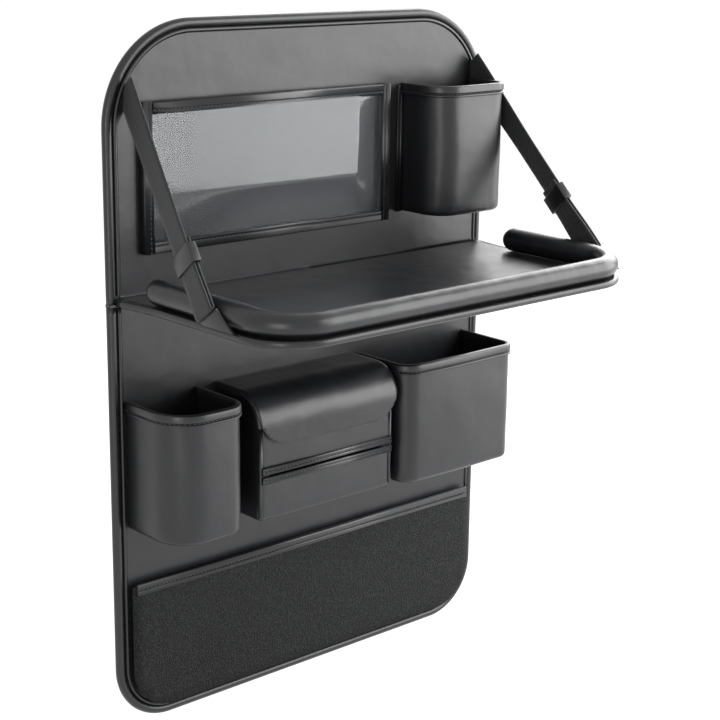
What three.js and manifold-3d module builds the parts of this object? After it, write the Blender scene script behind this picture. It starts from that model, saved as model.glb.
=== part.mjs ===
// Car seat back organizer: a leatherette panel in two boards, with a fold-down tray held by two
// straps, a window pocket, two cups, a box pocket, a tissue box with a flap and a mesh pocket.
// Millimetres, +Z up. The seat is at +Y, the passenger at -Y. The origin is the middle of the
// panel's back.
import * as THREE from 'three';
import { mergeVertices } from 'three/addons/utils/BufferGeometryUtils.js';
import Module from 'manifold-3d';

const wasm = await Module();
wasm.setup();

// Clearance between pieces that lie against each other
const GAP = 0.3;
// Largest distance between a faceted arc and the true one
const ARC_TOLERANCE = 0.25;
const BEVEL_STEPS = 2;

// Panel
const PANEL_WIDTH = 440;
const PANEL_HEIGHT = 620;
const TOP_CORNER_RADIUS = 88;
const BOTTOM_CORNER_RADIUS = 55;
const BACKING_THICKNESS = 1.2;
const STIFFENER_THICKNESS = 2.2;
const SKIN_THICKNESS = 3.7;
const SKIN_ROUNDING = 1.2;
const BINDING_WIDTH = 8;
const BINDING_PROUD = 0.9;
const BINDING_ROUNDING = 2.6;
const PIPING_WIDTH = 3.6;
const PIPING_PROUD = 1.3;
const PIPING_ROUNDING = 1.2;
// Height of the seam where the tray is sewn in, and the slit between the two boards there
const SEAM_HEIGHT = 76;
const SEAM_SLIT = 0.6;

// Tape that binds a cut edge, and the leatherette of the pocket walls
const TAPE_THICKNESS = 0.8;
const TAPE_HEIGHT = 10;
const WALL_THICKNESS = 2.2;
const BASE_THICKNESS = 2;

// Window pocket: its margin is from its left side to the panel's left edge
const WINDOW_MARGIN = 33;
const WINDOW_WIDTH = 276.5;
const WINDOW_BOTTOM = 117;
const WINDOW_TOP = 244;
const WINDOW_SLACK = 5.6;
const WINDOW_BAR_WIDTH = 10;
const FILM_THICKNESS = 0.5;
const FILM_GRIP = 3;

// Cups and box pocket: the margin is from the wall's outside to the panel's edge on that side
const UPPER_CUP = { margin: 22, width: 89, depth: 54, radius: 20, bottom: 122, top: 242, flange: 4 };
const LEFT_CUP = { margin: 14, width: 76, depth: 71, radius: 23, bottom: -124, top: -9, flange: 0 };
const BOX_POCKET = { margin: 20, width: 143, depth: 70, radius: 12, bottom: -124, top: -9, flange: 0 };

// Tissue box, between the left cup and the box pocket, and its flap
const TISSUE_BOX_TO_CUP = 22;
const TISSUE_BOX_TO_POCKET = 10;
const TISSUE_BOX_SIZE = { depth: 60, radius: 5, bottom: -124, top: -9 };
const SLIT_HEIGHT = 81.5;
const SLIT_OPENING = 5;
const SLIT_MARGIN = 10;
const LIP_HEIGHT = 4;
const LIP_THICKNESS = 1.6;
const FLAP_THICKNESS = 2;
const FLAP_OVERHANG = 4;
const FLAP_DROP = 48;
const FLAP_CORNER_RADIUS = 22;
const FLAP_ROUNDING = 0.7;

// Mesh pocket
const MESH_TOP = -174;
const MESH_SLACK = 5.6;
const MESH_THICKNESS = 1.2;
const MESH_SEAM = 4;

// Tray: the hinge line is the tray's upper rear edge
const TRAY_MARGIN = 10;
const TRAY_DEPTH = 208;
const TRAY_CORNER_RADIUS = 50;
const TRAY_SKIN_THICKNESS = 1.2;
const TRAY_CORE_THICKNESS = 3.4;
const TRAY_PIPING_WIDTH = 6.2;
const TRAY_PIPING_ROUNDING = 2.4;
const BUMPER_RADIUS = 11;
const BUMPER_SETBACK = 49;
const BUMPER_SIDES = 12;
const BUMPER_STEPS = 44;
const HINGE_REACH = 6;
const HINGE_LEATHER = 1.5;
const HINGE_UPSTAND = 9;

// Straps: 25 mm webbing, each doubled below a slider
const WEBBING_WIDTH = 25;
const WEBBING_THICKNESS = 1.4;
const STRAP_TOP_DROP = 52;
const STRAP_TOP_MARGIN = 21;
const STRAP_FOLD_ABOVE_TRAY = 10;
const STRAP_TAIL = 6;
const STRAP_STANDOFF = 2;
const LEFT_FOLD_DEPTH = 134;
const RIGHT_FOLD_DEPTH = 160;
const LEFT_SLIDER_DROP = 160;
const RIGHT_SLIDER_DROP = 162;
const STRAPS = [
  { side: 'left', sign: -1, foldDepth: LEFT_FOLD_DEPTH, sliderAt: LEFT_SLIDER_DROP },
  { side: 'right', sign: 1, foldDepth: RIGHT_FOLD_DEPTH, sliderAt: RIGHT_SLIDER_DROP },
];
const SLIDER_BAR = 1;
const SLIDER_RIM = 1.5;
const SLIDER_LENGTH = 17;
const SLIDER_FRAME = 2.5;
const TAB_THICKNESS = 3.2;
const TAB_SPREAD = 34;
const TAB_SETBACK = 2;
const TAB_CLEARANCE = 0.7;

// Hanging strap on the back of the upper board
const HANGER_DROP = 48;
const HANGER_SPAN = 200;
const HANGER_SEWN_END = 22;

// Depths that follow from the layers
const STIFFENER_BACK = -BACKING_THICKNESS - GAP;
const SKIN_BACK = STIFFENER_BACK - STIFFENER_THICKNESS - GAP;
const SKIN_FRONT = SKIN_BACK - SKIN_THICKNESS;
const POCKET_BACK = SKIN_FRONT - GAP;
const PIPING_INSET = BINDING_WIDTH + GAP;
const SKIN_INSET = PIPING_INSET + PIPING_WIDTH + GAP;
const WINDOW_LEFT = -PANEL_WIDTH / 2 + WINDOW_MARGIN;
const WINDOW_RIGHT = WINDOW_LEFT + WINDOW_WIDTH;
const TISSUE_BOX = {
  ...TISSUE_BOX_SIZE,
  left: besideEdge(-1, LEFT_CUP).right + TISSUE_BOX_TO_CUP,
  right: besideEdge(1, BOX_POCKET).left - TISSUE_BOX_TO_POCKET,
};
const STRAP_TOP_HEIGHT = PANEL_HEIGHT / 2 - STRAP_TOP_DROP;
const HANGER_HEIGHT = PANEL_HEIGHT / 2 - HANGER_DROP;
const TRAY_WIDTH = PANEL_WIDTH - 2 * TRAY_MARGIN;
const TRAY_THICKNESS = 2 * TRAY_SKIN_THICKNESS + TRAY_CORE_THICKNESS + 2 * GAP;
const HINGE = new THREE.Vector3(0, SKIN_FRONT - HINGE_REACH, SEAM_HEIGHT + TRAY_THICKNESS);

const LEATHER = { color: 0x2b2c2e, roughness: 0.42, metalness: 0 };
const TAPE = { color: 0x242527, roughness: 0.45, metalness: 0 };
const LINING = { color: 0x1c1c1d, roughness: 0.85, metalness: 0 };
const BOARD = { color: 0x6b5f4e, roughness: 0.9, metalness: 0 };
const FILM = { color: 0x9aa0a6, roughness: 0.12, metalness: 0, transparent: true, opacity: 0.3 };
const MESH_CLOTH = { color: 0x1a1a1b, roughness: 0.9, metalness: 0 };
const WEBBING = { color: 0x2e2f31, roughness: 0.8, metalness: 0 };
const PLASTIC = { color: 0x232426, roughness: 0.4, metalness: 0 };

// A pocket with its sides' places: its outer side lies its margin in from the panel's edge
function besideEdge(side, pocket) {
  const outer = side * (PANEL_WIDTH / 2 - pocket.margin);
  const inner = outer - side * pocket.width;
  return { ...pocket, left: Math.min(outer, inner), right: Math.max(outer, inner) };
}

function point(x, y, radius = 0) {
  return { x, y, radius };
}

// An open run of straight lines through the corners, with an arc at each corner that has a radius
function roundedRun(corners) {
  const run = [];
  corners.forEach((corner, index) => {
    const here = new THREE.Vector2(corner.x, corner.y);
    const before = corners[index - 1];
    const after = corners[index + 1];
    if (!corner.radius || !before || !after) {
      run.push(here);
      return;
    }
    const back = new THREE.Vector2(before.x, before.y).sub(here).normalize();
    const ahead = new THREE.Vector2(after.x, after.y).sub(here).normalize();
    const half = Math.acos(THREE.MathUtils.clamp(back.dot(ahead), -1, 1)) / 2;
    const bisector = back.clone().add(ahead).normalize();
    const centre = here.clone().addScaledVector(bisector, corner.radius / Math.sin(half));
    const start = here.clone().addScaledVector(back, corner.radius / Math.tan(half)).sub(centre);
    const end = here.clone().addScaledVector(ahead, corner.radius / Math.tan(half)).sub(centre);
    const sweep = Math.atan2(start.cross(end), start.dot(end));
    const step = 2 * Math.acos(1 - Math.min(1, ARC_TOLERANCE / corner.radius));
    const count = Math.max(2, Math.ceil(Math.abs(sweep) / step));
    for (let i = 0; i <= count; i += 1) {
      run.push(start.clone().rotateAround(new THREE.Vector2(), (sweep * i) / count).add(centre));
    }
  });
  return run;
}

// The closed strip between two open runs that go the same way
function strip(outer, inner) {
  return [...outer, ...[...inner].reverse()];
}

function rectangle(x0, y0, x1, y1) {
  return [[x0, y0], [x1, y0], [x1, y1], [x0, y1]].map(([x, y]) => new THREE.Vector2(x, y));
}

function extrusion(points, length, rounding, holes = []) {
  const shape = new THREE.Shape(points);
  shape.holes = holes.map((hole) => new THREE.Path(hole));
  const geometry = new THREE.ExtrudeGeometry(shape, {
    depth: length - 2 * rounding,
    steps: 1,
    bevelEnabled: rounding > 0,
    bevelThickness: rounding,
    bevelSize: rounding,
    bevelOffset: -rounding,
    bevelSegments: BEVEL_STEPS,
  });
  return geometry.translate(0, 0, rounding);
}

// An outline in X and Z, from yBack towards the passenger
function slab(points, yBack, thickness, rounding = 0) {
  return extrusion(points, thickness, rounding).rotateX(Math.PI / 2).translate(0, yBack, 0);
}

// An outline in X and Y, from zBottom up
function column(points, zBottom, height, rounding = 0) {
  return extrusion(points, height, rounding).translate(0, 0, zBottom);
}

// A profile in Y and Z, from xStart to the right
function rail(points, xStart, length, rounding = 0) {
  const basis = new THREE.Matrix4().makeBasis(
    new THREE.Vector3(0, 1, 0),
    new THREE.Vector3(0, 0, 1),
    new THREE.Vector3(1, 0, 0),
  );
  return extrusion(points, length, rounding).applyMatrix4(basis).translate(xStart, 0, 0);
}

function toSolid(geometry) {
  const bare = geometry.clone();
  bare.deleteAttribute('normal');
  bare.deleteAttribute('uv');
  const merged = mergeVertices(bare, 1e-4);
  return new wasm.Manifold(new wasm.Mesh({
    numProp: 3,
    vertProperties: Float32Array.from(merged.attributes.position.array),
    triVerts: Uint32Array.from(merged.index.array),
  }));
}

function fromSolid(solid) {
  const mesh = solid.getMesh();
  const geometry = new THREE.BufferGeometry();
  geometry.setAttribute('position', new THREE.BufferAttribute(mesh.vertProperties, 3));
  geometry.setIndex(Array.from(mesh.triVerts));
  geometry.computeVertexNormals();
  return geometry;
}

function joined(...geometries) {
  return fromSolid(geometries.map(toSolid).reduce((whole, piece) => whole.add(piece)));
}

function without(geometry, ...cutters) {
  const solids = cutters.map(toSolid);
  return fromSolid(solids.reduce((rest, cutter) => rest.subtract(cutter), toSolid(geometry)));
}

function piece(group, name, geometry, look) {
  const mesh = new THREE.Mesh(geometry, new THREE.MeshStandardMaterial(look));
  mesh.name = name;
  group.add(mesh);
  return mesh;
}

// The panel's outer edge, moved inwards by inset, on the upper or the lower board
function panelRun(board, inset) {
  const half = PANEL_WIDTH / 2 - inset;
  const up = board === 'upper' ? 1 : -1;
  const seam = SEAM_HEIGHT + (up * SEAM_SLIT) / 2;
  const end = up * (PANEL_HEIGHT / 2 - inset);
  const radius = (up > 0 ? TOP_CORNER_RADIUS : BOTTOM_CORNER_RADIUS) - inset;
  return roundedRun([
    point(-half, seam),
    point(-half, end, radius),
    point(half, end, radius),
    point(half, seam),
  ]);
}

function addBoard(panel, board) {
  const core = panelRun(board, PIPING_INSET);
  piece(panel, `${board}_backing`, slab(core, 0, BACKING_THICKNESS), LINING);
  piece(panel, `${board}_stiffener`, slab(core, STIFFENER_BACK, STIFFENER_THICKNESS), BOARD);
  const skin = slab(panelRun(board, SKIN_INSET), SKIN_BACK, SKIN_THICKNESS, SKIN_ROUNDING);
  piece(panel, `${board}_skin`, skin, LEATHER);
  const binding = strip(panelRun(board, 0), panelRun(board, BINDING_WIDTH));
  const bindingThickness = BINDING_PROUD - SKIN_FRONT;
  piece(panel, `${board}_edge_binding`, slab(binding, 0, bindingThickness, BINDING_ROUNDING), LEATHER);
  const piping = strip(panelRun(board, PIPING_INSET), panelRun(board, PIPING_INSET + PIPING_WIDTH));
  const pipingThickness = SKIN_THICKNESS + PIPING_PROUD;
  piece(panel, `${board}_inner_piping`, slab(piping, SKIN_BACK, pipingThickness, PIPING_ROUNDING), TAPE);
}

// A bar of the window's frame, as distances across it and out from the panel, with a groove in
// its inner side that holds the film
function frameBar(place) {
  const height = WINDOW_SLACK + FILM_THICKNESS + GAP + TAPE_THICKNESS;
  const grooveBack = WINDOW_SLACK - GAP;
  const grooveFront = WINDOW_SLACK + FILM_THICKNESS + GAP;
  const grooveFloor = WINDOW_BAR_WIDTH - FILM_GRIP;
  return [
    [0, GAP], [WINDOW_BAR_WIDTH, GAP], [WINDOW_BAR_WIDTH, grooveBack], [grooveFloor, grooveBack],
    [grooveFloor, grooveFront], [WINDOW_BAR_WIDTH, grooveFront], [WINDOW_BAR_WIDTH, height], [0, height],
  ].map(([across, out]) => place(across, SKIN_FRONT - out));
}

// Tape folded over the top edge of a sheet that hangs at sheetBack, as a profile in Y and Z
function foldedTape(sheetBack, sheetThickness, top) {
  const back = sheetBack + GAP;
  const front = sheetBack - sheetThickness - GAP;
  const low = top - TAPE_HEIGHT;
  return [
    [back + TAPE_THICKNESS, low], [back + TAPE_THICKNESS, top], [front - TAPE_THICKNESS, top],
    [front - TAPE_THICKNESS, low], [front, low], [front, top - TAPE_THICKNESS],
    [back, top - TAPE_THICKNESS], [back, low],
  ].map(([y, z]) => new THREE.Vector2(y, z));
}

function addWindowPocket(panel) {
  const filmBack = SKIN_FRONT - WINDOW_SLACK;
  const barInner = WINDOW_BAR_WIDTH - FILM_GRIP + GAP;
  const film = rectangle(
    WINDOW_LEFT + barInner,
    WINDOW_BOTTOM + barInner,
    WINDOW_RIGHT - barInner,
    WINDOW_TOP - TAPE_THICKNESS - GAP,
  );
  piece(panel, 'window_film', slab(film, filmBack, FILM_THICKNESS), FILM);
  const tall = WINDOW_TOP - WINDOW_BOTTOM;
  const leftBar = frameBar((across, y) => new THREE.Vector2(WINDOW_LEFT + across, y));
  piece(panel, 'window_left_binding', column(leftBar, WINDOW_BOTTOM, tall), TAPE);
  const rightBar = frameBar((across, y) => new THREE.Vector2(WINDOW_RIGHT - across, y));
  piece(panel, 'window_right_binding', column(rightBar, WINDOW_BOTTOM, tall), TAPE);
  const between = WINDOW_LEFT + WINDOW_BAR_WIDTH + GAP;
  const wide = WINDOW_RIGHT - WINDOW_BAR_WIDTH - GAP - between;
  const lowBar = frameBar((across, y) => new THREE.Vector2(y, WINDOW_BOTTOM + across));
  piece(panel, 'window_bottom_binding', rail(lowBar, between, wide), TAPE);
  const mouth = foldedTape(filmBack, FILM_THICKNESS, WINDOW_TOP);
  piece(panel, 'window_top_binding', rail(mouth, between, wide), TAPE);
}

// The pocket's wall seen from above, from the panel round the front and back to the panel, moved
// outwards by offset
function pocketRun(pocket, offset) {
  const front = SKIN_FRONT - pocket.depth - offset;
  return roundedRun([
    point(pocket.left - offset, POCKET_BACK),
    point(pocket.left - offset, front, pocket.radius + offset),
    point(pocket.right + offset, front, pocket.radius + offset),
    point(pocket.right + offset, POCKET_BACK),
  ]);
}

function pocketShell(pocket) {
  const wall = strip(pocketRun(pocket, 0), pocketRun(pocket, -WALL_THICKNESS));
  return column(wall, pocket.bottom, pocket.top - pocket.bottom);
}

function pocketBase(pocket) {
  return column(pocketRun(pocket, -WALL_THICKNESS - GAP), pocket.bottom, BASE_THICKNESS);
}

// The strips by which a cup's wall is sewn flat to the panel
function flangedShell(pocket) {
  const feetTop = pocket.top - TAPE_HEIGHT - GAP;
  const foot = (x0, x1) => column(
    rectangle(x0, POCKET_BACK - WALL_THICKNESS, x1, POCKET_BACK),
    pocket.bottom,
    feetTop - pocket.bottom,
  );
  return joined(
    pocketShell(pocket),
    foot(pocket.left - pocket.flange, pocket.left + WALL_THICKNESS),
    foot(pocket.right - WALL_THICKNESS, pocket.right + pocket.flange),
  );
}

// Tape folded over the wall's top edge
function pocketRim(pocket) {
  const outside = GAP + TAPE_THICKNESS;
  const inside = -WALL_THICKNESS - GAP;
  const low = pocket.top - TAPE_HEIGHT;
  const skirt = TAPE_HEIGHT + GAP + TAPE_THICKNESS;
  const outerSkirt = strip(pocketRun(pocket, outside), pocketRun(pocket, GAP));
  const innerSkirt = strip(pocketRun(pocket, inside), pocketRun(pocket, inside - TAPE_THICKNESS));
  const cap = strip(pocketRun(pocket, outside), pocketRun(pocket, inside - TAPE_THICKNESS));
  return joined(
    column(outerSkirt, low, skirt),
    column(innerSkirt, low, skirt),
    column(cap, pocket.top + GAP, TAPE_THICKNESS),
  );
}

function addPocket(panel, name, pocket) {
  const shell = pocket.flange > 0 ? flangedShell(pocket) : pocketShell(pocket);
  piece(panel, `${name}_wall`, shell, LEATHER);
  piece(panel, `${name}_base`, pocketBase(pocket), LEATHER);
  piece(panel, `${name}_rim`, pocketRim(pocket), TAPE);
}

function addTissueBox(panel) {
  const box = TISSUE_BOX;
  const slitLow = -SLIT_HEIGHT - SLIT_OPENING / 2;
  const front = SKIN_FRONT - box.depth;
  const cutter = column(
    rectangle(
      box.left + SLIT_MARGIN, front - WALL_THICKNESS,
      box.right - SLIT_MARGIN, front + 2 * WALL_THICKNESS,
    ),
    slitLow,
    SLIT_OPENING,
  );
  piece(panel, 'tissue_box_wall', without(pocketShell(box), cutter), LEATHER);
  piece(panel, 'tissue_box_base', pocketBase(box), LEATHER);
  const lipLength = box.right - box.left - 2 * box.radius;
  const lip = (low) => rail(
    rectangle(front - GAP - LIP_THICKNESS, low, front - GAP, low + LIP_HEIGHT),
    box.left + box.radius,
    lipLength,
  );
  piece(panel, 'slit_upper_lip', lip(slitLow + SLIT_OPENING), TAPE);
  piece(panel, 'slit_lower_lip', lip(slitLow - LIP_HEIGHT), TAPE);
}

// The flap hinges on its upper rear edge, lies over the box and hangs down in front of it
function addTissueFlap(group) {
  const box = TISSUE_BOX;
  group.position.set(0, POCKET_BACK, box.top + GAP + FLAP_THICKNESS);
  const left = box.left - FLAP_OVERHANG;
  const right = box.right + FLAP_OVERHANG;
  const reach = box.depth + FLAP_THICKNESS;
  const top = column(rectangle(left, -reach, right, 0), -FLAP_THICKNESS, FLAP_THICKNESS);
  const lipOutline = roundedRun([
    point(left, 0),
    point(left, -FLAP_DROP, FLAP_CORNER_RADIUS),
    point(right, -FLAP_DROP, FLAP_CORNER_RADIUS),
    point(right, 0),
  ]);
  const lip = slab(lipOutline, -box.depth, FLAP_THICKNESS, FLAP_ROUNDING);
  piece(group, 'tissue_flap', joined(top, lip), LEATHER);
}

function addMeshPocket(panel) {
  const inset = SKIN_INSET + GAP;
  const half = PANEL_WIDTH / 2 - inset;
  const pouch = (extra, top) => {
    const low = -PANEL_HEIGHT / 2 + inset + extra;
    const radius = BOTTOM_CORNER_RADIUS - inset - extra;
    return roundedRun([
      point(-half + extra, top),
      point(-half + extra, low, radius),
      point(half - extra, low, radius),
      point(half - extra, top),
    ]);
  };
  const clothTop = MESH_TOP - TAPE_THICKNESS - GAP;
  const deep = MESH_SLACK - GAP + MESH_THICKNESS;
  const whole = slab(pouch(0, clothTop), POCKET_BACK, deep);
  const hollow = slab(pouch(MESH_SEAM, clothTop + MESH_SEAM), POCKET_BACK + GAP, MESH_SLACK);
  piece(panel, 'mesh_pocket_cloth', without(whole, hollow), MESH_CLOTH);
  const tape = foldedTape(SKIN_FRONT - MESH_SLACK, MESH_THICKNESS, MESH_TOP);
  const inner = half - MESH_SEAM - GAP;
  piece(panel, 'mesh_pocket_binding', rail(tape, -inner, 2 * inner), TAPE);
}

// The tray's outline seen from above, with the hinge line at Y = 0
function trayRun(inset) {
  const half = TRAY_WIDTH / 2 - inset;
  const front = -TRAY_DEPTH + inset;
  const radius = TRAY_CORNER_RADIUS - inset;
  return roundedRun([
    point(-half, 0),
    point(-half, front, radius),
    point(half, front, radius),
    point(half, 0),
  ]);
}

// The bumper's centre line: up the left arm, across the front and back along the right arm
function bumperPath(height) {
  const half = TRAY_WIDTH / 2 - BUMPER_RADIUS;
  const front = -TRAY_DEPTH + BUMPER_RADIUS;
  const radius = TRAY_CORNER_RADIUS - BUMPER_RADIUS;
  const soft = radius * (1 - (4 / 3) * (Math.SQRT2 - 1));
  const at = (x, y) => new THREE.Vector3(x, y, height);
  const path = new THREE.CurvePath();
  path.add(new THREE.LineCurve3(at(-half, -BUMPER_SETBACK), at(-half, front + radius)));
  path.add(new THREE.CubicBezierCurve3(
    at(-half, front + radius), at(-half, front + soft), at(-half + soft, front), at(-half + radius, front),
  ));
  path.add(new THREE.LineCurve3(at(-half + radius, front), at(half - radius, front)));
  path.add(new THREE.CubicBezierCurve3(
    at(half - radius, front), at(half - soft, front), at(half, front + soft), at(half, front + radius),
  ));
  path.add(new THREE.LineCurve3(at(half, front + radius), at(half, -BUMPER_SETBACK)));
  return path;
}

function bumperSolid() {
  const height = BUMPER_RADIUS + GAP;
  const section = new THREE.Shape();
  for (let i = 0; i < BUMPER_SIDES; i += 1) {
    const angle = (2 * Math.PI * i) / BUMPER_SIDES;
    const place = [BUMPER_RADIUS * Math.cos(angle), BUMPER_RADIUS * Math.sin(angle)];
    if (i === 0) section.moveTo(...place);
    else section.lineTo(...place);
  }
  section.closePath();
  const tube = new THREE.ExtrudeGeometry(section, { steps: BUMPER_STEPS, extrudePath: bumperPath(height) });
  const half = TRAY_WIDTH / 2 - BUMPER_RADIUS;
  const end = (x) => new THREE.SphereGeometry(BUMPER_RADIUS, BUMPER_SIDES, BUMPER_SIDES / 2)
    .translate(x, -BUMPER_SETBACK, height);
  return joined(tube, end(-half), end(half));
}

function addTray(tray) {
  tray.position.copy(HINGE);
  const sheet = trayRun(TRAY_PIPING_WIDTH + GAP);
  const coreTop = -TRAY_SKIN_THICKNESS - GAP;
  const skinBottom = -TRAY_THICKNESS;
  piece(tray, 'tray_top_skin', column(sheet, -TRAY_SKIN_THICKNESS, TRAY_SKIN_THICKNESS), LEATHER);
  piece(tray, 'tray_board', column(sheet, coreTop - TRAY_CORE_THICKNESS, TRAY_CORE_THICKNESS), BOARD);
  piece(tray, 'tray_bottom_skin', column(sheet, skinBottom, TRAY_SKIN_THICKNESS), LEATHER);
  const bead = strip(trayRun(0), trayRun(TRAY_PIPING_WIDTH));
  piece(tray, 'tray_piping', column(bead, skinBottom, TRAY_THICKNESS, TRAY_PIPING_ROUNDING), LEATHER);
  piece(tray, 'tray_bumper', bumperSolid(), LEATHER);
}

// The leather that joins the tray to the panel: flat on the panel, then out to the tray's edge
function addTrayHinge(panel) {
  const ledge = HINGE.y + GAP;
  const low = HINGE.z - TRAY_THICKNESS;
  const top = HINGE.z + HINGE_UPSTAND;
  const profile = [
    [POCKET_BACK, low], [POCKET_BACK, top], [POCKET_BACK - HINGE_LEATHER, top],
    [POCKET_BACK - HINGE_LEATHER, HINGE.z], [ledge, HINGE.z], [ledge, low],
  ].map(([y, z]) => new THREE.Vector2(y, z));
  const length = TRAY_WIDTH - 2 * TRAY_PIPING_WIDTH;
  piece(panel, 'tray_hinge', rail(profile, -length / 2, length), LEATHER);
}

// A strap's own frame: along it, out from the part's middle, and across its width
function strapFrame(strap) {
  const doubled = 2 * WEBBING_THICKNESS + SLIDER_BAR + 2 * GAP;
  const reach = PANEL_WIDTH / 2 - STRAP_TOP_MARGIN;
  const top = new THREE.Vector3(strap.sign * reach, POCKET_BACK, STRAP_TOP_HEIGHT);
  const fold = new THREE.Vector3(
    strap.sign * (TRAY_WIDTH / 2 + STRAP_STANDOFF + doubled - WEBBING_THICKNESS),
    -strap.foldDepth,
    HINGE.z + STRAP_FOLD_ABOVE_TRAY,
  );
  const along = fold.clone().sub(top).normalize();
  const across = new THREE.Vector3(strap.sign, 0, 0).cross(along).normalize();
  const out = across.clone().cross(along).normalize();
  if (out.x * strap.sign < 0) {
    out.negate();
    across.negate();
  }
  return { top, fold, along, across, out, length: fold.distanceTo(top) };
}

// Places a solid that was drawn along X, out along Y and extruded across the width along Z
function inStrapFrame(geometry, frame) {
  const width = new THREE.Vector3().crossVectors(frame.along, frame.out);
  const basis = new THREE.Matrix4().makeBasis(frame.along, frame.out, width).setPosition(frame.top);
  return geometry.applyMatrix4(basis);
}

// Webbing from under the panel's piping to the tray, folded there and led back up to the slider
function strapWebbing(strap, frame) {
  const innerLayer = -SLIDER_BAR - 2 * GAP;
  const tail = strap.sliderAt - SLIDER_LENGTH / 2 - STRAP_TAIL;
  const turn = frame.length - WEBBING_THICKNESS;
  const profile = [
    [0, WEBBING_THICKNESS], [frame.length, WEBBING_THICKNESS],
    [frame.length, innerLayer - WEBBING_THICKNESS], [tail, innerLayer - WEBBING_THICKNESS],
    [tail, innerLayer], [turn, innerLayer], [turn, 0], [0, 0],
  ].map(([along, out]) => new THREE.Vector2(along, out));
  const band = extrusion(profile, WEBBING_WIDTH, 0).translate(0, 0, -WEBBING_WIDTH / 2);
  const placed = inStrapFrame(band, frame);
  const proud = SKIN_FRONT - PIPING_PROUD - GAP;
  const wall = new THREE.BoxGeometry(PANEL_WIDTH, PANEL_WIDTH, PANEL_HEIGHT)
    .translate(0, proud + PANEL_WIDTH / 2, STRAP_TOP_HEIGHT);
  return without(placed, wall);
}

// A frame with a middle bar: one slot for each layer of the webbing
function sliderSolid(strap, frame) {
  const outerFace = WEBBING_THICKNESS + GAP;
  const innerFace = -SLIDER_BAR - 3 * GAP - WEBBING_THICKNESS;
  const slotHalf = WEBBING_WIDTH / 2 + GAP;
  const frameHalf = slotHalf + SLIDER_FRAME;
  const outline = rectangle(-frameHalf, innerFace - SLIDER_RIM, frameHalf, outerFace + SLIDER_RIM);
  const holes = [
    rectangle(-slotHalf, -GAP, slotHalf, outerFace),
    rectangle(-slotHalf, innerFace, slotHalf, -GAP - SLIDER_BAR),
  ];
  const turn = new THREE.Matrix4().makeBasis(
    new THREE.Vector3(0, 0, 1),
    new THREE.Vector3(0, 1, 0),
    new THREE.Vector3(-1, 0, 0),
  );
  const sleeve = extrusion(outline, SLIDER_LENGTH, 0, holes).applyMatrix4(turn)
    .translate(strap.sliderAt + SLIDER_LENGTH / 2, 0, 0);
  return inStrapFrame(sleeve, frame);
}

// The triangular tab that holds the fold of the strap, sewn into the tray's side
function tabSolid(strap, frame) {
  const upper = frame.fold.clone().addScaledVector(frame.along, TAB_CLEARANCE);
  const edge = (side) => upper.clone().addScaledVector(frame.across, (side * WEBBING_WIDTH) / 2);
  const [high, low] = [edge(1), edge(-1)].sort((a, b) => b.z - a.z);
  const base = HINGE.z + GAP;
  const outline = [
    [high.y, high.z], [low.y, low.z],
    [-strap.foldDepth + TAB_SETBACK, base], [-strap.foldDepth - TAB_SPREAD, base],
  ].map(([y, z]) => new THREE.Vector2(y, z));
  const inner = strap.sign * (TRAY_WIDTH / 2 + GAP);
  const start = strap.sign > 0 ? inner : inner - TAB_THICKNESS;
  return rail(outline, start, TAB_THICKNESS);
}

function addStraps(panel, tray) {
  STRAPS.forEach((strap) => {
    const frame = strapFrame(strap);
    piece(panel, `${strap.side}_strap`, strapWebbing(strap, frame), WEBBING);
    piece(panel, `${strap.side}_slider`, sliderSolid(strap, frame), PLASTIC);
    const tab = tabSolid(strap, frame).translate(-HINGE.x, -HINGE.y, -HINGE.z);
    piece(tray, `${strap.side}_tab`, tab, LEATHER);
  });
}

// Webbing behind the upper board that goes round the headrest's posts, with its slider
function addHanger(panel) {
  const half = HANGER_SPAN / 2;
  const lift = GAP + SLIDER_RIM + GAP;
  const run = (out) => [
    point(-half, GAP + out), point(-half + HANGER_SEWN_END, GAP + out),
    point(-half + 2 * HANGER_SEWN_END, lift + out), point(half - 2 * HANGER_SEWN_END, lift + out),
    point(half - HANGER_SEWN_END, GAP + out), point(half, GAP + out),
  ];
  const band = strip(roundedRun(run(0)), roundedRun(run(WEBBING_THICKNESS)));
  const low = HANGER_HEIGHT - WEBBING_WIDTH / 2;
  piece(panel, 'hanging_strap', column(band, low, WEBBING_WIDTH), WEBBING);
  const slotHalf = WEBBING_WIDTH / 2 + GAP;
  const outer = rectangle(
    GAP, HANGER_HEIGHT - slotHalf - SLIDER_FRAME,
    lift + WEBBING_THICKNESS + GAP + SLIDER_RIM, HANGER_HEIGHT + slotHalf + SLIDER_FRAME,
  );
  const slot = rectangle(
    lift - GAP, HANGER_HEIGHT - slotHalf, lift + WEBBING_THICKNESS + GAP, HANGER_HEIGHT + slotHalf,
  );
  const sleeve = without(
    rail(outer, -SLIDER_LENGTH / 2, SLIDER_LENGTH),
    rail(slot, -SLIDER_LENGTH, 2 * SLIDER_LENGTH),
  );
  piece(panel, 'hanging_slider', sleeve, PLASTIC);
}

const organizer = new THREE.Group();
const panel = new THREE.Group();
const tray = new THREE.Group();
const flap = new THREE.Group();
organizer.add(panel, tray, flap);

addBoard(panel, 'upper');
addBoard(panel, 'lower');
addWindowPocket(panel);
addPocket(panel, 'upper_cup', besideEdge(1, UPPER_CUP));
addPocket(panel, 'left_cup', besideEdge(-1, LEFT_CUP));
addPocket(panel, 'box_pocket', besideEdge(1, BOX_POCKET));
addTissueBox(panel);
addTissueFlap(flap);
addMeshPocket(panel);
addTray(tray);
addTrayHinge(panel);
addStraps(panel, tray);
addHanger(panel);

export default organizer;
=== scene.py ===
"""Car seat back organizer: the looks of every surface, in metres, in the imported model's frame."""
import math

import bmesh
import bpy
from mathutils import Matrix, Vector, noise


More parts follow.
